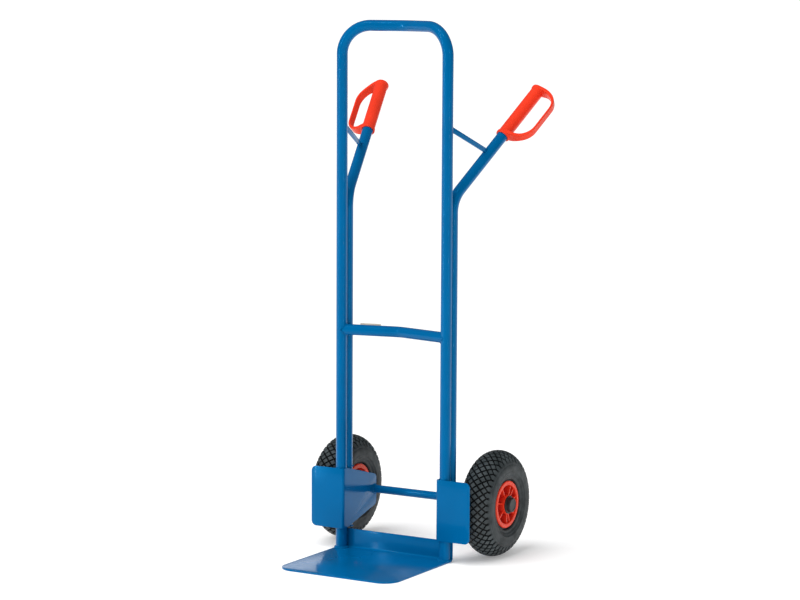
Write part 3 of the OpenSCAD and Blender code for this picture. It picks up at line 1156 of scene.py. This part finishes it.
    def strut_seams(self, side: Side) -> None:
        """Lay short beads along both faces of a strut, at both its ends.

        Args:
            side: which strut.
        """
        tubes = self.tubes
        node = frame["nodes"][f"strut_{side.word}"]
        leg = Vector((side.value * tubes.leg_x, tubes.leg_y, 0))
        points = [v.co.copy() for v in node.data.vertices]
        from_leg = [(p - leg).xy.length for p in points]
        for end in (min(from_leg), max(from_leg)):
            near = [p for p, away in zip(points, from_leg) if abs(away - end) < self.strut_end]
            high = max(near, key=lambda p: p.z)
            low = min(near, key=lambda p: p.z)
            across = max(near, key=lambda p: p.x) - min(near, key=lambda p: p.x)
            half = Vector((across.x, across.y, 0)).normalized() * self.strut_seam_half
            for start, finish in ((high - half, high + half), (low - half, low + half),
                                  (low + half, high + half), (low - half, high - half)):
                self.line(start, finish, 0.75)


# ---------------------------------------------------------------- the grips


@dataclass
class HandGrip:
    """Moulded grip: a collared sleeve and the loop that guards the hand. Sizes in metres."""

    rack: FinishRack
    tubes: TubeFrame
    length: float = 170 * MM
    fit: float = 0.05 * MM
    wall: float = 2.6 * MM
    collar_wall: float = 4.6 * MM
    collar_len: float = 8 * MM
    end_wall: float = 4 * MM
    reach: float = 64 * MM
    start: float = 5 * MM
    root_w: float = 34 * MM
    strap_w: float = 20 * MM
    strap_t: float = 5 * MM
    root_t: float = 9 * MM
    corner_r: float = 46 * MM
    roll: float = math.radians(21)
    strap_edge: float = 1.6 * MM
    taper_share: float = 0.7
    slope: float = 1.5 * MM
    edge: float = 1.8 * MM
    dish: float = 1.2 * MM
    voxel: float = 1.0 * MM

    @staticmethod
    def loop_line(reach: float, low: float, high: float, radius: float) -> list[tuple[float, float]]:
        """One outline of the guard, from its root round to its root.

        Args:
            reach: distance of its straight part from the handle's axis.
            low: Z of its lower root.
            high: Z of its upper root.
            radius: radius of its corners.

        Returns:
            (x, z) points, the same number for every call.
        """
        corner, straight, root = 14, 12, 6
        turn_x = reach - radius
        line = [(turn_x * k / root, low) for k in range(root)]
        for k in range(corner + 1):
            angle = math.pi / 2 * (k / corner - 1)
            line.append((turn_x + radius * math.cos(angle), low + radius + radius * math.sin(angle)))
        for k in range(1, straight):
            line.append((reach, low + radius + (high - low - 2 * radius) * k / straight))
        for k in range(corner + 1):
            angle = math.pi / 2 * k / corner
            line.append((turn_x + radius * math.cos(angle), high - radius + radius * math.sin(angle)))
        line += [(turn_x * (root - 1 - k) / root, high) for k in range(root)]
        return line

    def build_loop(self) -> bpy.types.Object:
        """Build the guard's strap, wide at its roots.

        Returns:
            The strap as a closed mesh.
        """
        outer = self.loop_line(self.reach, self.start, self.length, self.corner_r)
        inner = self.loop_line(self.reach - self.strap_t, self.start + self.root_t,
                               self.length - self.root_t, self.corner_r - self.strap_t)
        count = len(outer)
        points = [(x, 0.0, z) for x, z in outer + inner]
        faces = [(i, i + 1, count + i + 1, count + i) for i in range(count - 1)]
        loop = Bench.blank("guard_loop", points, faces=faces)
        Bench.edit(loop)
        bpy.ops.mesh.extrude_region_move(TRANSFORM_OT_translate={"value": (0, self.strap_w, 0)})
        Bench.done()
        taper = self.taper_share * self.reach
        for vertex in loop.data.vertices:
            share = min(1.0, vertex.co.x / taper)
            share = share * share * (3 - 2 * share)
            half = (self.root_w + (self.strap_w - self.root_w) * share) / 2
            vertex.co.y = half if vertex.co.y > self.strap_w / 2 else -half
        Bench.tidy(loop)
        Bench.round_edges(loop, self.strap_edge, 3, 50)
        return loop

    def build_sleeve(self) -> bpy.types.Object:
        """Turn the sleeve with its two collars and closed end.

        Returns:
            The sleeve, along +Z.
        """
        bore = self.tubes.tube_r + self.fit
        sleeve, collar = bore + self.wall, bore + self.collar_wall
        end, inside = self.length, self.length - self.end_wall
        step, floor = self.collar_len + self.slope, end - self.dish
        # distance along the grip, radius there, and rounding of that corner
        outline = rounded([
            (0, bore, 0.6 * MM), (0, collar, self.edge), (self.collar_len, collar, self.edge),
            (step, sleeve, self.slope), (end - step, sleeve, self.slope),
            (end - self.collar_len, collar, self.edge), (end, collar, 2.6 * MM),
            (end, 9 * MM, 1.0 * MM), (floor, 8 * MM, 1.0 * MM), (floor, 0, 0),
            (inside, 0, 0), (inside, bore, 0),
        ])
        piece = Bench.turn("grip_sleeve", outline, 64, closed=True)
        piece.data.transform(Matrix.Rotation(-math.pi / 2, 4, "Y"))
        return piece

    def build(self) -> None:
        """Build the right grip and mirror it for the left handle."""
        start = self.tubes.handle_reach + 2 * self.fit + self.end_wall - self.length
        solid = Bench.join([self.build_sleeve(), self.build_loop()], "hand_grip_right")
        Bench.modify(solid, "REMESH", mode="VOXEL", voxel_size=self.voxel)
        Bench.modify(solid, "SMOOTH", factor=0.5, iterations=7)
        Bench.smooth(solid, 60)
        turned = Matrix.Rotation(self.roll - math.pi / 2, 4, "Z") @ Matrix.Translation((0, 0, start))
        solid.data.transform(self.tubes.to_handle(Side.RIGHT) @ turned)
        twin = Bench.copy(solid, "hand_grip_left", Matrix.Scale(-1, 4, (1, 0, 0)))
        for side, piece in ((Side.RIGHT, solid), (Side.LEFT, twin)):
            self.rack.dress(piece, "red_plastic")
            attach(piece, BODY_FRAME)
            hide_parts(f"grip_{side.word}")
            LOG.info("%s: %d faces", piece.name, len(piece.data.polygons))


# ---------------------------------------------------------------- the wheels


@dataclass
class TyreTread:
    """Pneumatic tyre with a diamond-block tread. Built round X at the origin, in metres."""

    outer_r: float = 130 * MM
    section_r: float = 42.5 * MM
    groove: float = 5.0 * MM
    crown_end: float = math.radians(60)
    wall_start: float = math.radians(70)
    bead_end: float = math.radians(137)
    pitches: int = 43
    rows: int = 3
    row_step: float = 10.2 * MM
    gap: float = 2.9 * MM
    lug_end: float = 51 * MM
    # share by which the sidewall is darkened towards the grooves' painted shade colour
    wall_share: float = 0.30
    block_root: float = 0.8 * MM
    block_inset: float = 0.55 * MM
    block_drop: float = 0.45 * MM
    lug_foot: float = 0.6
    nib_half: float = 0.16
    nib_foot: float = 0.95
    bead_foot: tuple[float, float] = (24 * MM, 51 * MM)
    # rings on the sidewall: degrees from the crown, width in degrees, depth in mm
    rings: tuple[Point, ...] = ((74, 1.8, 0.8), (101, 2.4, -0.8), (107, 2.2, 1.1), (116, 5.0, 1.9),
                                (123, 2.2, -0.6), (131.5, 3.0, 4.2))

    @property
    def centre_r(self) -> float:
        """Radius of the ring on which the section's centre lies."""
        return self.outer_r - self.section_r

    def skin(self, angle: float) -> float:
        """Radius of the carcass in its section.

        Args:
            angle: angle from the crown, in radians.

        Returns:
            The radius, lower under the tread and ribbed on the sidewall.
        """
        away = abs(angle)
        share = min(1.0, max(0.0, (away - self.crown_end) / (self.wall_start - self.crown_end)))
        share = share * share * (3 - 2 * share)
        radius = self.section_r - 0.2 * MM - self.groove * (1 - share)
        for place, width, depth in self.rings:
            off = (math.degrees(away) - place) / width
            radius -= depth * MM * math.exp(-off * off)
        return radius

    def build_carcass(self) -> bpy.types.Object:
        """Turn the carcass with its sidewall ribs and its beads.

        Returns:
            The carcass.
        """
        steps = 150
        profile = []
        for k in range(steps + 1):
            angle = self.bead_end * (2 * k / steps - 1)
            radius = self.skin(angle)
            profile.append((radius * math.sin(angle), self.centre_r + radius * math.cos(angle)))
        foot_x, foot_r = self.bead_foot
        profile += [(foot_x, foot_r), (-foot_x, foot_r)]
        return Bench.turn("carcass", profile, 3 * self.pitches, closed=True)

    def wrap(self, along: float, across: float, rise: float) -> Point:
        """Lay a point of the flat tread on the tyre.

        Args:
            along: distance round the tyre.
            across: distance over the section from the crown.
            rise: height over the grooves' floor.

        Returns:
            Its place.
        """
        turn, lean = along / self.outer_r, across / self.section_r
        radius = self.section_r - self.groove + rise
        out = self.centre_r + radius * math.cos(lean)
        return radius * math.sin(lean), out * math.cos(turn), out * math.sin(turn)

    def block(self, corners: Sequence[tuple[float, float]]) -> bpy.types.Object:
        """Raise one tread block with an eased top.

        Args:
            corners: its outline on the flat tread, in metres.

        Returns:
            The block, laid on the tyre.
        """
        sunk = -self.block_root
        block = Bench.blank("block", [(x, y, sunk) for x, y in corners], faces=[range(len(corners))])
        Bench.edit(block)
        bpy.ops.mesh.extrude_region_move(TRANSFORM_OT_translate={"value": (0, 0, self.groove - sunk)})
        bpy.ops.mesh.inset(thickness=self.block_inset, depth=0)
        bpy.ops.mesh.select_all(action="SELECT")
        bpy.ops.mesh.normals_make_consistent(inside=False)
        Bench.done()
        top = self.groove - 1e-6
        rim = {i for face in block.data.polygons if len(face.vertices) == 4
               for i in face.vertices if block.data.vertices[i].co.z > top}
        inner = {i for face in block.data.polygons
                 if face.normal.z > 0.9 and len(face.vertices) == len(corners)
                 and all(block.data.vertices[j].co.z > top for j in face.vertices)
                 for i in face.vertices}
        for i in rim - inner:
            block.data.vertices[i].co.z -= self.block_drop
        Bench.edit(block)
        bpy.ops.mesh.subdivide(number_cuts=1)
        Bench.done()
        for vertex in block.data.vertices:
            vertex.co = self.wrap(*vertex.co)
        return block

    def outlines(self) -> list[list[tuple[float, float]]]:
        """Outlines of the blocks in one pitch of the tread.

        Returns:
            Outlines on the flat tread, in metres.
        """
        half = math.pi * self.outer_r / self.pitches
        step, gap = self.row_step, self.gap
        shapes = []
        for row in range(-self.rows, self.rows + 1):
            shift = half if row % 2 else 0.0
            middle = row * step
            shapes.append([(shift - half + gap, middle), (shift, middle - step + gap * step / half),
                           (shift + half - gap, middle), (shift, middle + step - gap * step / half)])
        outer = (self.rows + 1) * step
        shift = 0.0 if self.rows % 2 else half
        for sign in (-1, 1):
            foot = sign * self.lug_end
            tip, waist = sign * (outer - step + gap * step / half), sign * outer
            lug = half * self.lug_foot
            shapes.append([(shift, tip), (shift + half - gap, waist), (shift + lug, foot),
                           (shift - lug, foot), (shift - half + gap, waist)])
            nib, nib_foot = half * self.nib_half, foot * self.nib_foot
            shapes.append([(shift + half - nib, nib_foot), (shift + half, sign * (outer + 2 * gap)),
                           (shift + half + nib, nib_foot)])
        return shapes

    def shade_share_at(self, point: Vector) -> float:
        """Share of painted shade at a point, by how far it lies down in the tread's grooves.

        Args:
            point: a point of the tyre.

        Returns:
            0 on the blocks' tops, 1 on the grooves' floor where the painted shade is darkest, and the
            sidewalls' own share.
        """
        out = math.hypot(point.y, point.z) - self.centre_r
        lean = abs(math.atan2(point.x, out))
        wall = self.wall_share * min(1.0, max(0.0, (lean / self.wall_start - 0.75) / 0.25))
        if lean > self.wall_start:
            return wall
        sunk = self.section_r - self.block_root - math.hypot(point.x, out)
        return max(wall, sunk / (0.6 * self.groove))

    def build(self) -> bpy.types.Object:
        """Build the whole tyre.

        Returns:
            The tyre round the X axis at the origin.
        """
        pitch = Bench.join([self.block(shape) for shape in self.outlines()], "pitch")
        Bench.edit(pitch)
        bpy.ops.mesh.normals_make_consistent(inside=False)
        Bench.done()
        ring = [Bench.copy(pitch, f"pitch_{k}", Matrix.Rotation(math.tau * k / self.pitches, 4, "X"))
                for k in range(1, self.pitches)]
        tyre = Bench.join([self.build_carcass(), pitch, *ring], "tyre_tread_right")
        # paint shade into the tread's grooves; the sidewall is darkened by a fixed share
        Recess.mark(tyre, self.shade_share_at)
        Bench.smooth(tyre, 32)
        return tyre


@dataclass
class WheelHub:
    """Two-part plastic rim and hub cap. Built round X at the origin, in metres."""

    rim_r: float = 58 * MM
    half_w: float = 34.5 * MM
    bead_r: float = 50.8 * MM
    barrel_r: float = 47.5 * MM
    hub_r: float = 24 * MM
    hub_half: float = 37.5 * MM
    bore_r: float = 16.5 * MM
    web_x: float = 12 * MM
    web_t: float = 4 * MM
    rib_t: float = 4.4 * MM
    rib_top: float = 32.3 * MM
    rib_draft: float = 0.84
    flange_t: float = 5 * MM
    slice_step: float = 3 * MM
    cap_h: float = 12 * MM
    rib_angles: tuple[float, ...] = tuple(14 + k * 360 / 7 for k in range(7)) + (44.0, -71.0)

    def build_shell(self) -> bpy.types.Object:
        """Turn flange, barrel, web and hub boss in one.

        Returns:
            The shell of the outer half.
        """
        web_top = self.web_x + self.web_t
        flange_x, boss_x = self.half_w - self.flange_t, self.hub_half - 0.5 * MM
        # place along the axle, radius there, and rounding of that corner
        outline = rounded([
            (0, self.bead_r, 0), (flange_x, self.bead_r, 1.0 * MM), (flange_x, self.rim_r, 2.2 * MM),
            (self.half_w, self.rim_r, 2.4 * MM), (self.half_w, self.barrel_r, 1.4 * MM),
            (web_top, self.barrel_r - 1.2 * MM, 2.0 * MM), (web_top, self.hub_r + 1.0 * MM, 2.0 * MM),
            (boss_x, self.hub_r - 0.4 * MM, 1.2 * MM), (boss_x, self.bore_r, 0.5 * MM),
            (0, self.bore_r, 0), (0, self.hub_r, 0), (self.web_x, self.hub_r, 0),
            (self.web_x, self.barrel_r, 0), (0, self.barrel_r, 0),
        ], 4)
        return Bench.turn("shell", outline, 112, closed=True)

    def build_rib(self, degrees: float) -> bpy.types.Object:
        """Build one rib with drafted sides and a round top.

        Args:
            degrees: its angle from +Y towards +Z.

        Returns:
            The rib.
        """
        inner, outer = self.hub_r - 1.5 * MM, self.barrel_r + 1.5 * MM
        low, high = self.web_x + 1 * MM, self.rib_top
        bpy.ops.object.select_all(action="DESELECT")
        bpy.ops.mesh.primitive_cube_add(size=1, location=((low + high) / 2, (inner + outer) / 2, 0),
                                        scale=(high - low, outer - inner, self.rib_t))
        rib = bpy.context.object
        Bench.settle(rib)
        for vertex in rib.data.vertices:
            if vertex.co.x > (low + high) / 2:
                vertex.co.z *= self.rib_draft
        Bench.round_edges(rib, 0.5 * MM, 2, 50)
        rib.data.transform(Matrix.Rotation(math.radians(degrees), 4, "X"))
        return rib

    def build_outer(self) -> bpy.types.Object:
        """Build the outer rim half.

        Returns:
            The rim half round the X axis at the origin.
        """
        ribs = [self.build_rib(angle) for angle in self.rib_angles]
        rim = Bench.join([self.build_shell(), *ribs], "rim_ribbed_right")
        web_top = self.web_x + self.web_t
        # rings along X let the pockets' painted shade grow with their depth
        Bench.slice_along_x(rim, [web_top + k * self.slice_step for k in range(1, 6)])
        # paint shade into the pockets between the ribs, darkest on the web
        Recess.mark(rim, self.shade_share_at)
        Bench.smooth(rim, 38)
        return rim

    def shade_share_at(self, point: Vector) -> float:
        """Share of painted shade at a point, by how far it lies down in the pockets between the ribs.

        Args:
            point: a point of the rim.

        Returns:
            0 on the ring and the hub's face, 1 on the web, where the painted shade is darkest.
        """
        if math.hypot(point.y, point.z) > self.barrel_r + 1 * MM:
            return 0.0
        sunk = (self.rib_top - point.x) / (self.rib_top - self.web_x - self.web_t)
        return sunk ** 0.8 if sunk > 0 else 0.0

    def build_cap(self) -> bpy.types.Object:
        """Turn the hub cap: a base flange, a drafted skirt and a dished face.

        Returns:
            The cap round the X axis at the origin.
        """
        base, top = self.hub_half, self.hub_half + self.cap_h
        flange, inside = base + 2.5 * MM, top - 2.5 * MM
        # place along the axle, radius there, and rounding of that corner
        outline = rounded([
            (base, 14 * MM, 0), (base, 22 * MM, 0.5 * MM), (flange, 22 * MM, 1.0 * MM),
            (flange, 18.2 * MM, 1.0 * MM), (top, 17.6 * MM, 2.6 * MM), (top, 13.4 * MM, 0.4 * MM),
            (top - 0.7 * MM, 12.9 * MM, 0.4 * MM), (top - 0.5 * MM, 0, 0), (inside, 0, 0),
            (inside, 14 * MM, 0),
        ], 4)
        cap = Bench.turn("hub_cap_dished_right", outline, 80, closed=True)
        Bench.smooth(cap, 30)
        return cap


@dataclass
class Wheel:
    """One wheel: its new pieces, and where they go."""

    rack: FinishRack
    wheel_x: float = 212 * MM

    def build(self) -> None:
        """Build the right wheel's pieces and mirror them to the left."""
        low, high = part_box("tyre_right")
        centre = (low + high) / 2
        hub = WheelHub()
        models = (
            (TyreTread().build(), "tyre_tread", "tyre", "tyre"),
            (hub.build_outer(), "rim_ribbed", "rim_outer", "red_plastic"),
            (hub.build_cap(), "hub_cap_dished", "hub_cap", "black_plastic"),
        )
        for model, name, node, slot in models:
            model.data.transform(Matrix.Translation((self.wheel_x, centre.y, centre.z)))
            twin = Bench.copy(model, f"{name}_left", Matrix.Scale(-1, 4, (1, 0, 0)))
            for side, piece in ((Side.RIGHT, model), (Side.LEFT, twin)):
                self.dress(piece, side, f"{node}_{side.word}", slot)
        for side in Side:
            node = f"rim_inner_{side.word}"
            piece = Bench.from_node(node, f"rim_windowed_{side.word}")
            Bench.smooth(piece, 32)
            self.dress(piece, side, node, "red_plastic")

    def dress(self, piece: bpy.types.Object, side: Side, node: str, slot: str) -> None:
        """Dress a piece and hang it on its wheel.

        Args:
            piece: the finished piece.
            side: which wheel.
            node: the node it stands for.
            slot: the record's material slot.
        """
        self.rack.dress(piece, slot)
        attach(piece, side.wheel_body)
        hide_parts(node)
        LOG.info("%s: %d faces", piece.name, len(piece.data.polygons))


# ---------------------------------------------------------------- the studio


@dataclass(frozen=True)
class SoftBox:
    """One rectangular light. Sizes in metres, power in watts."""

    name: str
    at: Point
    target: Point
    wide: float
    tall: float
    power: float

    def hang(self) -> None:
        """Hang the light, turned to its target and out of the camera's sight."""
        light = bpy.data.lights.new(self.name, "AREA")
        light.shape, light.energy = "RECTANGLE", self.power
        light.size, light.size_y = self.wide, self.tall
        lamp = bpy.data.objects.new(self.name, light)
        bpy.context.scene.collection.objects.link(lamp)
        lamp.location = self.at
        aim = Vector(self.target) - Vector(self.at)
        lamp.rotation_euler = aim.to_track_quat("-Z", "Y").to_euler()
        lamp.visible_camera = False


@dataclass
class Studio:
    """White floor and room, soft lights and the camera. Sizes in metres, angles in degrees."""

    camera_at: Point = (3.33112, -5.61735, 1.46074)
    yaw: float = 30.4696
    pitch: float = -7.2474
    roll: float = 0.2816
    lens: float = 122.98
    sensor: float = 36.0
    far: float = 100.0
    floor_size: float = 60.0
    sky: float = 0.46
    sky_glow: float = 0.10
    backdrop: float = 1.1
    sun_power: float = 2.0
    sun_from: Point = (-0.40, -0.75, 1.30)
    sun_spread: float = 55.0
    boxes: tuple[SoftBox, ...] = (
        SoftBox("left_strip", (-2.4, -3.2, 1.4), (0, 0, 0.8), 0.12, 3.0, 24.0),
        SoftBox("right_strip", (3.2, -1.2, 1.3), (0, 0, 0.8), 0.10, 2.8, 11.0),
        SoftBox("top_strip", (0.0, -1.2, 3.4), (0, 0, 1.0), 1.6, 0.14, 9.0),
        SoftBox("back_card_left", (-2.35, 2.75, 0.95), (0, 0, 0), 0.5, 0.5, 1.0),
        SoftBox("back_card_right", (-1.35, 3.15, 0.95), (0, 0, 0), 0.5, 0.4, 1.0),
    )

    def build_floor(self) -> None:
        """Lay the floor."""
        bpy.ops.object.select_all(action="DESELECT")
        bpy.ops.mesh.primitive_plane_add(size=self.floor_size, location=(0, 0, 0))
        floor = bpy.context.object
        floor.name = "studio_floor"
        Bench.settle(floor)
        floor.data.materials.append(FloorPaper().make())

    def build_lights(self) -> None:
        """Hang the broad light and the soft boxes."""
        broad = bpy.data.lights.new("broad_light", "SUN")
        broad.energy, broad.angle = self.sun_power, math.radians(self.sun_spread)
        lamp = bpy.data.objects.new("broad_light", broad)
        bpy.context.scene.collection.objects.link(lamp)
        lamp.rotation_euler = (-Vector(self.sun_from)).to_track_quat("-Z", "Y").to_euler()
        lamp.visible_glossy = False
        for box in self.boxes:
            box.hang()

    def build_room(self) -> None:
        """Light the white room: bright to the eye, soft on surfaces, dim in reflections."""
        world = bpy.data.worlds.new("white_room")
        bpy.context.scene.world = world
        world.use_nodes = True
        tree = world.node_tree
        background = tree.nodes["Background"]
        background.inputs["Color"].default_value = (1, 1, 1, 1)
        path = tree.nodes.new("ShaderNodeLightPath")
        glossy = tree.nodes.new("ShaderNodeMapRange")
        glossy.inputs["To Min"].default_value = self.sky
        glossy.inputs["To Max"].default_value = self.sky_glow
        tree.links.new(path.outputs["Is Glossy Ray"], glossy.inputs["Value"])
        seen = tree.nodes.new("ShaderNodeMix")
        seen.data_type = "FLOAT"
        seen.inputs[3].default_value = self.backdrop
        tree.links.new(path.outputs["Is Camera Ray"], seen.inputs[0])
        tree.links.new(glossy.outputs["Result"], seen.inputs[2])
        tree.links.new(seen.outputs[0], background.inputs["Strength"])

    def build_camera(self) -> None:
        """Stand the camera where it looks from."""
        yaw, pitch, roll = (math.radians(v) for v in (self.yaw, self.pitch, self.roll))
        level = math.cos(pitch)
        ahead = Vector((-math.sin(yaw) * level, math.cos(yaw) * level, math.sin(pitch)))
        right = Vector((math.cos(yaw), math.sin(yaw), 0))
        turn = Matrix((right, right.cross(ahead), -ahead)).transposed() @ Matrix.Rotation(roll, 3, "Z")
        data = bpy.data.cameras.new("camera")
        data.sensor_width, data.lens = self.sensor, self.lens
        data.clip_end = self.far
        camera = bpy.data.objects.new("camera", data)
        bpy.context.scene.collection.objects.link(camera)
        camera.matrix_world = Matrix.Translation(self.camera_at) @ turn.to_4x4()
        bpy.context.scene.camera = camera

    def build(self) -> None:
        """Build the whole studio."""
        bpy.context.scene.view_settings.view_transform = "Standard"
        self.build_floor()
        self.build_lights()
        self.build_room()
        self.build_camera()


def main() -> None:
    """Build the hand truck's looks, piece by piece, and the studio round it."""
    logging.basicConfig(level=logging.INFO, format="%(name)s: %(message)s")
    rack = FinishRack()
    rack.dress_nodes()
    tubes = TubeFrame(rack)
    tubes.build()
    SheetWork(rack).build()
    WeldSeams(rack, tubes).build()
    HandGrip(rack, tubes).build()
    Wheel(rack).build()
    Studio().build()


if __name__ == "__main__":
    main()
